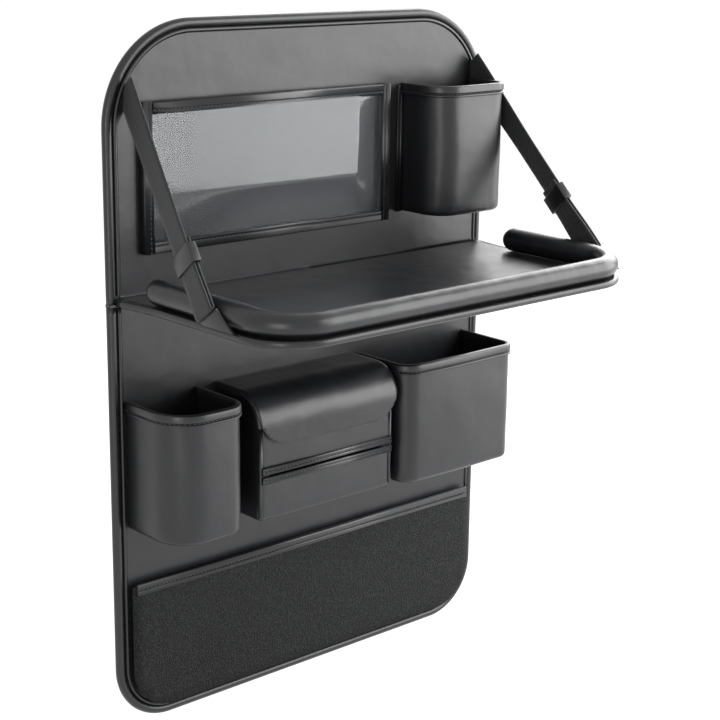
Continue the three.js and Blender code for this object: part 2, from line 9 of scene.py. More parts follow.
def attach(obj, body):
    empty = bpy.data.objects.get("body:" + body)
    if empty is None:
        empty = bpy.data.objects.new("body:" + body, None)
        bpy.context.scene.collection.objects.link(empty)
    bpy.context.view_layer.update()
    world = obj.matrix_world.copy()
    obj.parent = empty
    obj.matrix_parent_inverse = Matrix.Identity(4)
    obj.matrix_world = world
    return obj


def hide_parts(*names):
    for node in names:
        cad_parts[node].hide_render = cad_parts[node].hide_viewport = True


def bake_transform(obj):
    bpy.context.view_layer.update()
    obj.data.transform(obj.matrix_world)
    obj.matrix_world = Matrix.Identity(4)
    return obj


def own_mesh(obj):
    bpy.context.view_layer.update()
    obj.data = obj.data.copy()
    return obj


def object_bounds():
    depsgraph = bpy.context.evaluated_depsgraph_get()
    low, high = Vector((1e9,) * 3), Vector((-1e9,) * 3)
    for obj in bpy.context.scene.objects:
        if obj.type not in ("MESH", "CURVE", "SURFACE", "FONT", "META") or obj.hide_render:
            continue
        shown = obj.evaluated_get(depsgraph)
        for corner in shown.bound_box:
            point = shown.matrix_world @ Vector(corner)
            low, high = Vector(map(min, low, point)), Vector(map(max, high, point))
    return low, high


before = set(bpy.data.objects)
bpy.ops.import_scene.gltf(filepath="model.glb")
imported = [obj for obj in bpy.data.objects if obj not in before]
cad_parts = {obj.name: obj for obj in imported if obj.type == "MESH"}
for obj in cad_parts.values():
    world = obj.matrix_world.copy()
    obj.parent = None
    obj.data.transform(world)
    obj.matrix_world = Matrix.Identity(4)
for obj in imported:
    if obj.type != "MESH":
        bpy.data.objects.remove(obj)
CAD_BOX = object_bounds()
MM = 0.001

# The photograph's camera: its place, and the directions of its right and up
CAMERA_PLACE = Vector((-0.9755, -1.1606, 0.3990))
CAMERA_RIGHT = Vector((0.7458, -0.6661, 0.0129))
CAMERA_UP = Vector((0.1632, 0.2014, 0.9658))
CAMERA_LENS = 84.2
SENSOR = 36

# Sizes in millimetres, as the solids have them
HALF_WIDTH = 220
HALF_HEIGHT = 310
SEAM = 76
TOP_CORNER = 88
BOTTOM_CORNER = 55
BEAD = 4.3
WELT = 1.75
WELT_INSET = 10.2
COVER_INSET = 12.3
COVER_BACK = 4.0
COVER_RISE = 3.7
PANEL_FACE = 7.7
WALL = 2.2
TAPE = 0.9
TAPE_DROP = 10.5
TRAY_TOP = 82.4
TRAY_REAR = 13.7
TRAY_FRONT = 221.7
TRAY_HALF = 210
TRAY_CORNER = 50
TRAY_EDGE = 6.4
TRAY_SKIN = 1.2
TRAY_SHOULDER = 52
GAP = 0.3
STITCH_PITCH = 4.2
STITCH_LENGTH = 3.0
THREAD = 0.38

# Each pocket's corners are its left and right front radius as seen from above
POCKETS = {
    "upper_cup": {
        "left": 109, "right": 198, "depth": 54, "corners": (24, 18), "low": 122, "high": 242, "bulge": 3.4},
    "left_cup": {
        "left": -206, "right": -130, "depth": 71, "corners": (31, 17), "low": -124, "high": -9,
        "bulge": 3.4},
    "box_pocket": {
        "left": 57, "right": 200, "depth": 70, "corners": (17, 12), "low": -124, "high": -9, "bulge": 3.8},
    "tissue_box": {
        "left": -108, "right": 47, "depth": 60, "corners": (5, 5), "low": -124, "high": -9, "bulge": 1.2},
}
SLIT = {"left": -98, "right": 37, "low": -84, "high": -79}
FLAP = {"left": -112, "right": 51, "depth": 62, "drop": 48, "top": -6.7, "bend": 32, "corners": (34, 27)}
# How far the flap's leather and its stitches lie under the flap's course. Near the hinge the leather
# stays low, so that it clears the lower cover when the flap is up.
FLAP_SUNK = 1.2
FLAP_CLEARANCE = 0.5
FLAP_CLEAR_UNTIL = 28
FLAP_STITCH_LEVEL = -0.7
FILM_PROUD = 4.2
FILM_BEND = 0.138
WINDOW = {"left": -187, "right": 89.5, "low": 117, "high": 244, "bar": 10, "film": 13.5}
MESH = {"half": 207.5, "low": -297.5, "high": -174, "corner": 42.5, "front": 14.5, "tape_half": 203.2}
BUMPER = {"arm": 11.0, "front": 9.8, "left_end": 40, "right_end": 63}
STRAPS = {
    "left": {"sign": -1, "reach": 134, "slider": 160, "twist": -5},
    "right": {"sign": 1, "reach": 160, "slider": 162, "twist": -15},
}
STRAP_TOP = Vector((199, -8.0, 258))
STRAP_FOOT_SIDE = 215
STRAP_FOOT_HEIGHT = 92.4
STRAP_WIDTH = 25
STRAP_THICKNESS = 1.4
STRAP_DOUBLED = 4.4
HANGER = {"half": 100, "sewn": 22, "level": 262, "back": 0.3, "lift": 1.8}


def linear(code):
    """An sRGB hex colour as linear red, green, blue and alpha."""
    parts = [int(code[i:i + 2], 16) / 255 for i in (1, 3, 5)]
    return [c / 12.92 if c <= 0.04045 else ((c + 0.055) / 1.055) ** 2.4 for c in parts] + [1.0]


def add(tree, kind, inputs=None, **settings):
    """Adds a node with its settings. An input is a value, or the socket that feeds it."""
    made = tree.nodes.new(kind)
    for name, value in settings.items():
        setattr(made, name, value)
    for name, value in (inputs or {}).items():
        if isinstance(value, bpy.types.NodeSocket):
            tree.links.new(value, made.inputs[name])
        else:
            made.inputs[name].default_value = value
    return made


def empty_material(name):
    material = bpy.data.materials.new(name)
    material.use_nodes = True
    material.node_tree.nodes.clear()
    return material, material.node_tree


def surface(tree, inputs):
    shader = add(tree, "ShaderNodeBsdfPrincipled", inputs)
    add(tree, "ShaderNodeOutputMaterial", {"Surface": shader.outputs["BSDF"]})
    return shader


def two_colours(tree, factor, dark, light):
    mixed = add(tree, "ShaderNodeMix", {"Factor": factor}, data_type="RGBA")
    mixed.inputs[6].default_value = linear(dark)
    mixed.inputs[7].default_value = linear(light)
    return mixed.outputs[2]


# Calendered PU leatherette over thin foam: a satin charcoal face with an embossed grain. The grain
# is 0.5 mm on the real sheet and is drawn at 0.9 mm, so that a close view shows it.
GRAIN_SPACING = 0.9 * MM
UNEVEN_SPACING = 38 * MM


def leatherette(name, dark, light, roughness, grain_depth, uneven_depth):
    material, tree = empty_material(name)
    place = add(tree, "ShaderNodeTexCoord").outputs["Object"]
    grain = add(tree, "ShaderNodeTexVoronoi", {"Vector": place, "Scale": 1 / GRAIN_SPACING},
                feature="SMOOTH_F1")
    uneven = add(tree, "ShaderNodeTexNoise", {"Vector": place, "Scale": 1 / UNEVEN_SPACING, "Detail": 2.0})
    slow = add(tree, "ShaderNodeBump", {
        "Height": uneven.outputs["Fac"], "Strength": 1.0, "Distance": uneven_depth * MM})
    fine = add(tree, "ShaderNodeBump", {
        "Height": grain.outputs["Distance"], "Strength": 1.0, "Distance": grain_depth * MM,
        "Normal": slow.outputs["Normal"]})
    rough = add(tree, "ShaderNodeMapRange", {
        "Value": uneven.outputs["Fac"], "To Min": roughness - 0.04, "To Max": roughness + 0.04})
    surface(tree, {
        "Base Color": two_colours(tree, grain.outputs["Distance"], dark, light),
        "Roughness": rough.outputs["Result"], "IOR": 1.5, "Normal": fine.outputs["Normal"]})
    return material


# Clear PVC film, calendered: glossy on both faces, with a slight haze. Its index is set under PVC's
# 1.53, so that two faces shine no more than the photograph's film does.
def clear_film():
    material, tree = empty_material("clear_pvc_film")
    surface(tree, {
        "Base Color": linear("#d9dcdf"), "Roughness": 0.06, "IOR": 1.35, "Transmission Weight": 0.97})
    return material


# Polyester mesh cloth: black threads with tiny gaps. The threads are 0.6 mm apart on the real
# cloth and are drawn 1.8 mm apart, so that they show as a fine speckle.
MESH_SPACING = 1.8 * MM


def mesh_cloth():
    material, tree = empty_material("polyester_mesh_cloth")
    place = add(tree, "ShaderNodeTexCoord").outputs["Object"]
    cells = add(tree, "ShaderNodeTexVoronoi", {
        "Vector": place, "Scale": 1 / MESH_SPACING, "Randomness": 0.8})
    fleck = add(tree, "ShaderNodeTexNoise", {"Vector": place, "Scale": 1 / MESH_SPACING, "Detail": 3.0})
    height = add(tree, "ShaderNodeMath", {0: cells.outputs["Distance"], 1: fleck.outputs["Fac"]},
                 operation="MULTIPLY")
    spread = add(tree, "ShaderNodeMapRange", {
        "Value": height.outputs[0], "From Min": 0.08, "From Max": 0.42})
    bump = add(tree, "ShaderNodeBump", {
        "Height": spread.outputs["Result"], "Strength": 1.0, "Distance": 0.9 * MM})
    surface(tree, {
        "Base Color": two_colours(tree, spread.outputs["Result"], "#050506", "#262728"),
        "Roughness": 0.8, "Specular IOR Level": 0.25, "Normal": bump.outputs["Normal"]})
    return material


# Woven polyester webbing: a flat strap with fine ribs across it, one every 1.5 mm
RIB_SPACING = 1.5
THREAD_SPACING = 0.9


def webbing():
    material, tree = empty_material("woven_webbing")
    place = add(tree, "ShaderNodeUVMap", uv_map="UVMap").outputs["UV"]
    ribs = add(tree, "ShaderNodeTexWave", {
        "Vector": place, "Scale": 0.314 / RIB_SPACING, "Distortion": 0.4, "Detail": 1.0},
        bands_direction="X")
    threads = add(tree, "ShaderNodeTexWave", {
        "Vector": place, "Scale": 0.314 / THREAD_SPACING, "Distortion": 0.3}, bands_direction="Y")
    weave = add(tree, "ShaderNodeMath", {0: ribs.outputs["Fac"], 1: threads.outputs["Fac"]},
                operation="MULTIPLY")
    bump = add(tree, "ShaderNodeBump", {
        "Height": weave.outputs[0], "Strength": 1.0, "Distance": 0.25 * MM})
    surface(tree, {
        "Base Color": two_colours(tree, weave.outputs[0], "#17181a", "#303134"),
        "Roughness": 0.66, "Normal": bump.outputs["Normal"], "Sheen Weight": 0.12})
    return material


# Acetal, injection moulded: black and satin, with a fine spark-eroded texture
def moulded_acetal():
    material, tree = empty_material("moulded_acetal")
    place = add(tree, "ShaderNodeTexCoord").outputs["Object"]
    spark = add(tree, "ShaderNodeTexNoise", {"Vector": place, "Scale": 1 / (0.5 * MM), "Detail": 2.0})
    bump = add(tree, "ShaderNodeBump", {
        "Height": spark.outputs["Fac"], "Strength": 1.0, "Distance": 0.03 * MM})
    surface(tree, {
        "Base Color": two_colours(tree, spark.outputs["Fac"], "#1b1c1d", "#242527"),
        "Roughness": 0.36, "Normal": bump.outputs["Normal"]})
    return material


# Spun nonwoven lining: matt black, with the small dots that bond its fibres, 3 mm apart
def nonwoven_lining():
    material, tree = empty_material("nonwoven_lining")
    place = add(tree, "ShaderNodeTexCoord").outputs["Object"]
    dots = add(tree, "ShaderNodeTexVoronoi", {"Vector": place, "Scale": 1 / (3 * MM), "Randomness": 0.25})
    bump = add(tree, "ShaderNodeBump", {
        "Height": dots.outputs["Distance"], "Strength": 1.0, "Distance": 0.3 * MM})
    surface(tree, {
        "Base Color": two_colours(tree, dots.outputs["Distance"], "#18181a", "#2b2b2d"),
        "Roughness": 0.9, "Normal": bump.outputs["Normal"]})
    return material


# Pressed fibre board inside the panel and the tray: brown, with short fibres
def fibre_board():
    material, tree = empty_material("pressed_fibre_board")
    place = add(tree, "ShaderNodeTexCoord").outputs["Object"]
    fibres = add(tree, "ShaderNodeTexNoise", {"Vector": place, "Scale": 1 / (4 * MM), "Detail": 5.0})
    surface(tree, {
        "Base Color": two_colours(tree, fibres.outputs["Fac"], "#5c4c38", "#85714f"), "Roughness": 0.85})
    return material


# Bonded polyester sewing thread: dark, with a slight shine
def sewing_thread():
    material, tree = empty_material("bonded_sewing_thread")
    place = add(tree, "ShaderNodeTexCoord").outputs["Object"]
    twist = add(tree, "ShaderNodeTexNoise", {"Vector": place, "Scale": 1 / (0.8 * MM)})
    surface(tree, {
        "Base Color": two_colours(tree, twist.outputs["Fac"], "#3b3c3f", "#5a5b5f"), "Roughness": 0.5})
    return material


def seen_or_mirrored(tree):
    """One for the camera's own rays and for those in gloss and clear film, else nought."""
    path = add(tree, "ShaderNodeLightPath")
    direct = add(tree, "ShaderNodeMath", {
        0: path.outputs["Is Camera Ray"], 1: path.outputs["Is Glossy Ray"]}, operation="MAXIMUM")
    return add(tree, "ShaderNodeMath", {
        0: direct.outputs[0], 1: path.outputs["Is Transmission Ray"]}, operation="MAXIMUM").outputs[0]


def studio_floor():
    """A pale floor: most of the white that is seen of it is its own, and the rest keeps the
    object's shadow."""
    material, tree = empty_material("pale_floor")
    own = add(tree, "ShaderNodeEmission", {"Color": (1, 1, 1, 1), "Strength": 0.86})
    shade = add(tree, "ShaderNodeBsdfDiffuse", {"Color": linear("#b4b4b4")})
    white = add(tree, "ShaderNodeAddShader", {0: own.outputs[0], 1: shade.outputs[0]})
    matt = add(tree, "ShaderNodeBsdfDiffuse", {"Color": linear("#ececec")})
    both = add(tree, "ShaderNodeMixShader", {
        0: seen_or_mirrored(tree), 1: matt.outputs[0], 2: white.outputs[0]})
    add(tree, "ShaderNodeOutputMaterial", {"Surface": both.outputs[0]})
    return material


LEATHER = leatherette("pu_leatherette", "#17181a", "#212225", 0.36, 0.07, 1.0)
BOUND = leatherette("leatherette_tape", "#18191b", "#232426", 0.31, 0.08, 0.5)
FOAMED = leatherette("foam_backed_leatherette", "#18191b", "#222326", 0.32, 0.10, 1.4)
FILM = clear_film()
MESH_CLOTH = mesh_cloth()
WEBBING = webbing()
ACETAL = moulded_acetal()
LINING = nonwoven_lining()
FIBRE_BOARD = fibre_board()
SEWING_THREAD = sewing_thread()

# The world's strength as a light. The camera, gloss and clear film see it at full strength.
FILL_LIGHT = 0.35


def rounded(points, radii, closed=False, segments=10):
    """The points in order, with each corner that has a radius rounded by a vertex bevel."""
    bm = bmesh.new()
    corners = [bm.verts.new((*point, 0)) for point in points]
    onward = corners[1:] + corners[:1] if closed else corners[1:]
    for a, b in zip(corners, onward):
        bm.edges.new((a, b))
    first = corners[0]
    for corner, radius in zip(corners, radii):
        if radius:
            bmesh.ops.bevel(
                bm, geom=[corner], offset=radius, offset_type="OFFSET", segments=segments,
                profile=0.5, affect="VERTICES", material=-1)
    here = first if first.is_valid else bm.verts[:][0]
    ordered = [here.co.xy.copy()]
    edge = here.link_edges[0]
    while edge:
        here = edge.other_vert(here)
        ordered.append(here.co.xy.copy())
        edge = next((e for e in here.link_edges if e is not edge), None)
        if closed and len(ordered) == len(bm.verts):
            break
    bm.free()
    return ordered


def dense(places, step):
    """The same course with a point at least every step."""
    course = [places[0]]
    for a, b in zip(places, places[1:]):
        count = max(1, math.ceil((b - a).length / step))
        course += [a.lerp(b, i / count) for i in range(1, count + 1)]
    return course


def circle(radius, count=16):
    turn = 2 * math.pi / count
    return [(radius * math.cos(i * turn), radius * math.sin(i * turn)) for i in range(count)]


def smooth(value):
    value = min(1.0, max(0.0, value))
    return value * value * (3 - 2 * value)


def link(name, mesh, material):
    obj = bpy.data.objects.new(name, mesh)
    bpy.context.scene.collection.objects.link(obj)
    mesh.materials.clear()
    mesh.materials.append(material)
    mesh.shade_smooth()
    return obj


def mesh_of(bm, name, material, to_panel=False):
    """The finished mesh of a bmesh drawn in millimetres. A shape drawn flat in X and Y is stood
    up against the panel, its height towards the passenger, when to_panel is set."""
    if to_panel:
        bm.transform(Matrix.Rotation(math.pi / 2, 4, "X"))
    bm.transform(Matrix.Scale(MM, 4))
    mesh = bpy.data.meshes.new(name)
    bm.to_mesh(mesh)
    bm.free()
    return link(name, mesh, material)


def spline(points, closed, radii=None):
    curve = bpy.data.curves.new("course", "CURVE")
    curve.dimensions = "3D"
    line = curve.splines.new("POLY")
    line.points.add(len(points) - 1)
    for i, point in enumerate(points):
        line.points[i].co = (*point, 1) if len(point) == 3 else (*point, 0, 1)
        line.points[i].radius = radii[i] if radii else 1
    line.use_cyclic_u = closed
    obj = bpy.data.objects.new("course", curve)
    bpy.context.scene.collection.objects.link(obj)
    return obj


def swept(course, section, closed=True, radii=None):
    """A bmesh of the section, as (outwards, up) points, carried along a level course. Outwards is
    to the left of the way the course goes."""
    path = spline(course, False, radii)
    edge = spline(section, closed)
    path.data.twist_mode = "Z_UP"
    path.data.bevel_mode = "OBJECT"
    path.data.bevel_object = edge
    path.data.use_fill_caps = closed
    evaluated = path.evaluated_get(bpy.context.evaluated_depsgraph_get())
    mesh = bpy.data.meshes.new_from_object(evaluated)
    bm = bmesh.new()
    bm.from_mesh(mesh)
    for made in (path, edge):
        bpy.data.objects.remove(made)
    bpy.data.meshes.remove(mesh)
    bmesh.ops.remove_doubles(bm, verts=bm.verts, dist=1e-4)
    bmesh.ops.recalc_face_normals(bm, faces=bm.faces)
    return bm


def lifted(bm, height):
    bmesh.ops.translate(bm, verts=bm.verts, vec=(0, 0, height))
    return bm


def everything(bm):
    return bm.verts[:] + bm.edges[:] + bm.faces[:]


def fresh(made, kind):
    return [e for e in made["geom"] if isinstance(e, kind)]


def sheet_of(places, height, direction):
    """A flat face through the places, that looks along the direction."""
    bm = bmesh.new()
    bm.faces.new([bm.verts.new((*p, height)) for p in places])
    return facing(bm, direction)


def facing(bm, direction):
    """Turns an open sheet's faces so that most of them look along the direction."""
    bm.normal_update()
    if sum(f.normal.dot(direction) * f.calc_area() for f in bm.faces) < 0:
        bmesh.ops.reverse_faces(bm, faces=bm.faces)
    return bm


def sliced(bm, axis, low, high, step):
    """Cuts the whole shape at every step between low and high."""
    for i in range(1, math.ceil((high - low) / step)):
        bmesh.ops.bisect_plane(bm, geom=everything(bm), plane_co=axis * (low + i * step), plane_no=axis)


def modifier(obj, kind, **settings):
    made = obj.modifiers.new(kind.title(), kind)
    for name, value in settings.items():
        setattr(made, name, value)
    return made


def wall_of(obj, thickness, offset=-1.0):
    return modifier(obj, "SOLIDIFY", thickness=thickness * MM, offset=offset, use_even_offset=True)


def dressed(obj, body, slot, *nodes):
    """The piece rides on its body and stands for the nodes. The slot is not used."""
    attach(obj, body)
    if nodes:
        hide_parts(*nodes)
    return obj


def stitches(name, places, up):
    """A row of stitches along the places, each a small spindle of thread that lies on the row."""
    bm = bmesh.new()
    step = 0.0
    for a, b in zip(places, places[1:]):
        length = (b - a).length
        while step < length:
            centre = a.lerp(b, step / length) + up * (THREAD * 0.35)
            turn = (b - a).to_track_quat("X", "Z").to_matrix().to_4x4()
            size = Matrix.Diagonal((STITCH_LENGTH / 2, THREAD, THREAD, 1))
            bmesh.ops.create_uvsphere(
                bm, u_segments=6, v_segments=5, radius=1.0,
                matrix=Matrix.Translation(centre) @ turn @ size)
            step += STITCH_PITCH
        step -= length
    return mesh_of(bm, name, SEWING_THREAD)


def puffed(bm, rise, width, steps):
    """Raises the sheet by insets along a quarter circle, so that its edge is round."""
    before = 0.0
    faces = bm.faces[:]
    for i in range(1, steps + 1):
        angle = i / steps * math.pi / 2
        height = rise * math.sin(angle)
        inset = width * (math.cos((i - 1) / steps * math.pi / 2) - math.cos(angle))
        bmesh.ops.inset_region(
            bm, faces=faces, thickness=inset, depth=height - before, use_even_offset=True)
        before = height
    return bm


def board_course(board, inset, gap=GAP):
    """The panel's outline on one board, from the left end of the seam round to the right end."""
    up = 1 if board == "upper" else -1
    side = HALF_WIDTH - inset
    end = up * (HALF_HEIGHT - inset)
    corner = (TOP_CORNER if up > 0 else BOTTOM_CORNER) - inset
    seam = SEAM + up * gap
    return rounded(
        [(-side, seam), (-side, end), (side, end), (side, seam)], [0, corner, corner, 0], segments=24)


def cover(board):
    """Padded front of one board: its edge is puffed up against the welt."""
    bm = sheet_of(board_course(board, COVER_INSET), COVER_BACK, Vector((0, 0, 1)))
    obj = mesh_of(puffed(bm, COVER_RISE, 4.5, 8), f"{board}_cover", LEATHER, to_panel=True)
    dressed(obj, "panel", "leatherette", f"{board}_skin")


def backing(board):
    """Lining over the board's back, turned in under the bound edge, a little uneven."""
    inset = 2 * BEAD
    bm = sheet_of(board_course(board, inset), 0.9, Vector((0, 0, -1)))
    puffed(bm, 0.7, 1.6, 4)
    for axis, low, high in ((Vector((1, 0, 0)), -HALF_WIDTH, HALF_WIDTH),
                            (Vector((0, 1, 0)), -HALF_HEIGHT, HALF_HEIGHT)):
        sliced(bm, axis, low, high, 11)
    for vert in bm.verts:
        held = smooth((HALF_WIDTH - inset - abs(vert.co.x)) / 12)
        vert.co.z -= 0.35 * held * noise.noise(vert.co * 0.016)
    obj = mesh_of(bm, f"{board}_lining", LINING, to_panel=True)
    dressed(obj, "panel", "lining", f"{board}_backing")


def board_edges(board):
    bead = lifted(swept(dense(board_course(board, BEAD, 1.6), 6), circle(BEAD, 20)), BEAD)
    dressed(mesh_of(bead, f"{board}_bead", BOUND, to_panel=True), "panel", "leatherette",
            f"{board}_edge_binding")
    welt = lifted(swept(dense(board_course(board, WELT_INSET, 1.6), 8), circle(WELT, 12)), PANEL_FACE - 0.4)
    dressed(mesh_of(welt, f"{board}_welt", BOUND, to_panel=True), "panel", "binding_tape",
            f"{board}_inner_piping")


def seam_fold():
    """The tray's leatherette where it is sewn in between the two boards' bound edges."""
    start = Vector((-HALF_WIDTH + 1.2, 0, SEAM))
    section = [(0.5, -1.9), (0.5, 1.9), (7.9, 1.9), (7.9, -1.9)]
    obj = bar("seam_fold", section, [1.2] * 4, start, Vector((0, -1, 0)), Vector((0, 0, 1)),
              Vector((2 * HALF_WIDTH - 2.4, 0, 0)), BOUND, segments=5)
    dressed(obj, "panel", "leatherette")


def pocket_course(pocket, offset=0.0):
    """Round the pocket's wall seen from above, from the panel's left round to the right."""
    back = -PANEL_FACE - GAP
    front = -PANEL_FACE - pocket["depth"] - offset
    left, right = pocket["left"] - offset, pocket["right"] + offset
    near, far = pocket["corners"]
    return rounded(
        [(left, back), (left, front), (right, front), (right, back)], [0, near + offset, far + offset, 0])


def pocket_section(pocket, tuck):
    """The wall from its rounded lower edge up to its rim, as (outwards, up) points."""
    height = pocket["high"] - pocket["low"]
    section = []
    for i in range(5):
        angle = i / 4 * math.pi / 2
        section.append((tuck * (math.sin(angle) - 1), tuck * (1 - math.cos(angle))))
    return section + [(0.0, tuck + (height - tuck) * i / 18) for i in range(1, 19)]


def sagged(bm, pocket):
    """The soft front stands proud in its middle and is never quite even."""
    wide = pocket["right"] - pocket["left"]
    tall = pocket["high"] - pocket["low"]
    for vert in bm.verts:
        across = min(1.0, max(0.0, (vert.co.x - pocket["left"]) / wide))
        up = min(1.0, max(0.0, (vert.co.z - pocket["low"]) / tall))
        if vert.co.y < -PANEL_FACE - pocket["depth"] * 0.4:
            vert.co.y -= pocket["bulge"] * math.sin(math.pi * across) * (
                0.3 + 0.7 * math.sin(math.pi * up ** 0.8))
        fade = min(1.0, (-PANEL_FACE - vert.co.y) / 12)
        vert.co.y += fade * 0.5 * noise.noise(vert.co * 0.03)
    return bm


def pocket_wall(pocket, tuck=5.0):
    bm = swept(dense(pocket_course(pocket), 5), pocket_section(pocket, tuck), closed=False)
    lifted(bm, pocket["low"])
    bm.normal_update()
    if min(bm.faces, key=lambda f: f.calc_center_median().y).normal.y > 0:
        bmesh.ops.reverse_faces(bm, faces=bm.faces)
    return sagged(bm, pocket)


def pocket(name):
    size = POCKETS[name]
    wall = mesh_of(pocket_wall(size), f"{name}_leather", LEATHER)
    wall_of(wall, WALL)
    dressed(wall, "panel", "leatherette", f"{name}_wall")
    return [wall, pocket_floor(name, size), *pocket_rim(name, size)]


def pocket_floor(name, size):
    bm = sheet_of(pocket_course(size, -3.0), size["low"] + 0.3, Vector((0, 0, -1)))
    made = bmesh.ops.extrude_face_region(bm, geom=bm.faces[:])
    bmesh.ops.translate(bm, vec=(0, 0, 1.8), verts=fresh(made, bmesh.types.BMVert))
    bmesh.ops.recalc_face_normals(bm, faces=bm.faces)
    obj = mesh_of(bm, f"{name}_floor", LEATHER)
    modifier(obj, "BEVEL", width=0.6 * MM, segments=2)
    return dressed(obj, "panel", "leatherette", f"{name}_base")


def rim_section():
    """Tape folded over the wall's edge, with a stitched groove near its outer lower edge."""
    outer = 0.4 + TAPE
    inner = -WALL - 0.4 - TAPE
    groove = 3.0
    points = [
        (outer - 0.2, 0), (outer + 0.9, 0.6), (outer + 0.9, groove - 1.1), (outer - 0.8, groove),
        (outer + 0.6, groove + 1.1), (outer + 0.3, TAPE_DROP), (inner, TAPE_DROP), (inner, 0),
        (inner + TAPE, 0), (inner + TAPE, TAPE_DROP - TAPE), (outer - TAPE, TAPE_DROP - TAPE),
        (outer - TAPE, 0),
    ]
    return rounded(points, [0.2, 0.4, 0.4, 0.2, 0.4, 1.8, 1.6, 0.2, 0.2, 0.4, 0.4, 0.2], True, segments=4)


def pocket_rim(name, size):
    low = size["high"] - TAPE_DROP + 1.1
    bm = sagged(lifted(swept(dense(pocket_course(size), 5), rim_section()), low), size)
    rim = dressed(mesh_of(bm, f"{name}_rim_tape", BOUND), "panel", "binding_tape", f"{name}_rim")
    bm = bmesh.new()
    for place in dense(pocket_course(size, 1.1), 3):
        bm.verts.new((*place, low + 3.0))
    row = [v.co.copy() for v in sagged(bm, size).verts]
    bm.free()
    thread = dressed(stitches(f"{name}_stitches", row, Vector((0, -1, 0))), "panel", "binding_tape")
    return [rim, thread]


def bar(name, points, radii, start, across, out, run, material, segments=4):
    """A straight tape: its section, as (across, out) points, carried from start along run."""
    section = rounded(points, radii, True, segments=segments)
    bm = bmesh.new()
    face = bm.faces.new([bm.verts.new(start + across * p.x + out * p.y) for p in section])
    made = bmesh.ops.extrude_face_region(bm, geom=[face])
    bmesh.ops.translate(bm, vec=run, verts=fresh(made, bmesh.types.BMVert))
    bmesh.ops.recalc_face_normals(bm, faces=bm.faces)
    return mesh_of(bm, name, material)


def stitched_line(name, start, run, out):
    """A straight row of stitches that stops just short of both ends of the run."""
    row = [start + run * 0.005, start + run * 0.995]
    return dressed(stitches(name, row, out), "panel", "binding_tape")


def upper_cup():
    size = POCKETS["upper_cup"]
    pieces = pocket("upper_cup")
    tall = size["high"] - size["low"]
    for name, x, turn, short in (("left", size["left"], -1, 1), ("right", size["right"], 1, 12)):
        points = [(-1, 0), (-1, 2.0), (1.2, 2.0), (1.9, 1.1), (2.6, 1.9), (5.6, 1.6), (5.6, 0)]
        strip = bar(
            f"upper_cup_{name}_seam", points, [0, 0.6, 0.3, 0.3, 0.3, 0.8, 0],
            Vector((x, -PANEL_FACE, size["low"])), Vector((turn, 0, 0)), Vector((0, -1, 0)),
            Vector((0, 0, tall - short)), LEATHER)
        pieces.append(dressed(strip, "panel", "leatherette"))
    for piece in pieces:
        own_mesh(piece)


def window():
    left, right, low, high = (WINDOW[k] for k in ("left", "right", "low", "high"))
    width = WINDOW["bar"]
    points = [(0, 0.3), (0, 7.2), (5.6, 7.2), (6.5, 6.4), (7.4, 7.2), (width, 7.2), (width, 0.3)]
    radii = [0, 1.4, 0.4, 0.2, 0.4, 1.2, 0]
    face = -PANEL_FACE
    out = Vector((0, -1, 0))
    inner_left = left + width + 0.3
    inner_right = right - width - 0.3
    tall = Vector((0, 0, high - low))
    wide = Vector((inner_right - inner_left, 0, 0))
    bars = {
        "left": (Vector((left, face, low)), Vector((1, 0, 0)), tall),
        "right": (Vector((right, face, low)), Vector((-1, 0, 0)), tall),
        "bottom": (Vector((inner_left, face, low)), Vector((0, 0, 1)), wide),
    }
    for side, (start, across, run) in bars.items():
        obj = bar(f"window_{side}_tape", points, radii, start, across, out, run, BOUND)
        dressed(obj, "panel", "binding_tape", f"window_{side}_binding")
        stitched_line(f"window_{side}_stitches", start + across * 6.5 + out * 6.5, run, out)
    mouth_points = [
        (0, 4.5), (0, 5.3), (8.8, 5.3), (8.8, 6.1), (0.2, 6.1), (-0.4, 7.4), (2.2, 7.6), (3, 7.0),
        (3.8, 7.8), (10, 7.6), (10, 4.5),
    ]
    mouth_radii = [0.1, 0.1, 0.2, 0.2, 0.1, 0.4, 0.4, 0.2, 0.4, 1.6, 1.5]
    start = Vector((inner_left, face, high - width))
    obj = bar("window_mouth_tape", mouth_points, mouth_radii, start, Vector((0, 0, 1)), out, wide, BOUND)
    dressed(obj, "panel", "binding_tape", "window_top_binding")
    stitched_line("window_mouth_stitches", start + Vector((0, -7.1, 3)), wide, out)
    film(inner_left - 2.5, inner_right + 2.5, low + width - 2.5, high - 1.2)


def film(left, right, low, high):
    bm = bmesh.new()
    bmesh.ops.create_grid(bm, x_segments=110, y_segments=50, size=0.5)
    for vert in bm.verts:
        across, up = vert.co.x + 0.5, vert.co.y + 0.5
        x = left + across * (right - left)
        z = low + up * (high - low)
        proud = FILM_PROUD * min(smooth(across * 2), min(1.0, (1 - across) / FILM_BEND) ** 1.5)
        wave = 0.25 * noise.noise(Vector((x * 0.012, z * 0.02, 3.1)))
        held = min(1.0, 3 * up) * smooth((1 - up) / 0.14)
        vert.co = (x, -WINDOW["film"] - held * (proud + wave), z)
    obj = mesh_of(facing(bm, Vector((0, -1, 0))), "clear_film", FILM)
    wall_of(obj, 0.4)
    dressed(obj, "panel", "clear_film", "window_film")


def leant_back(bm):
    """The box's soft upper edge gives way to the flap's round bend."""
    depth = POCKETS["tissue_box"]["depth"]
    bend = FLAP["bend"]
    centre_y = -PANEL_FACE - GAP - FLAP["depth"] + bend
    for vert in bm.verts:
        up = vert.co.z - (FLAP["top"] - bend)
        if up > 0:
            front = centre_y - math.sqrt(max(0.0, (bend - 3.0) ** 2 - up ** 2))
            kept = min(1.0, (-PANEL_FACE - front) / depth)
            vert.co.y = -PANEL_FACE + (vert.co.y + PANEL_FACE) * kept


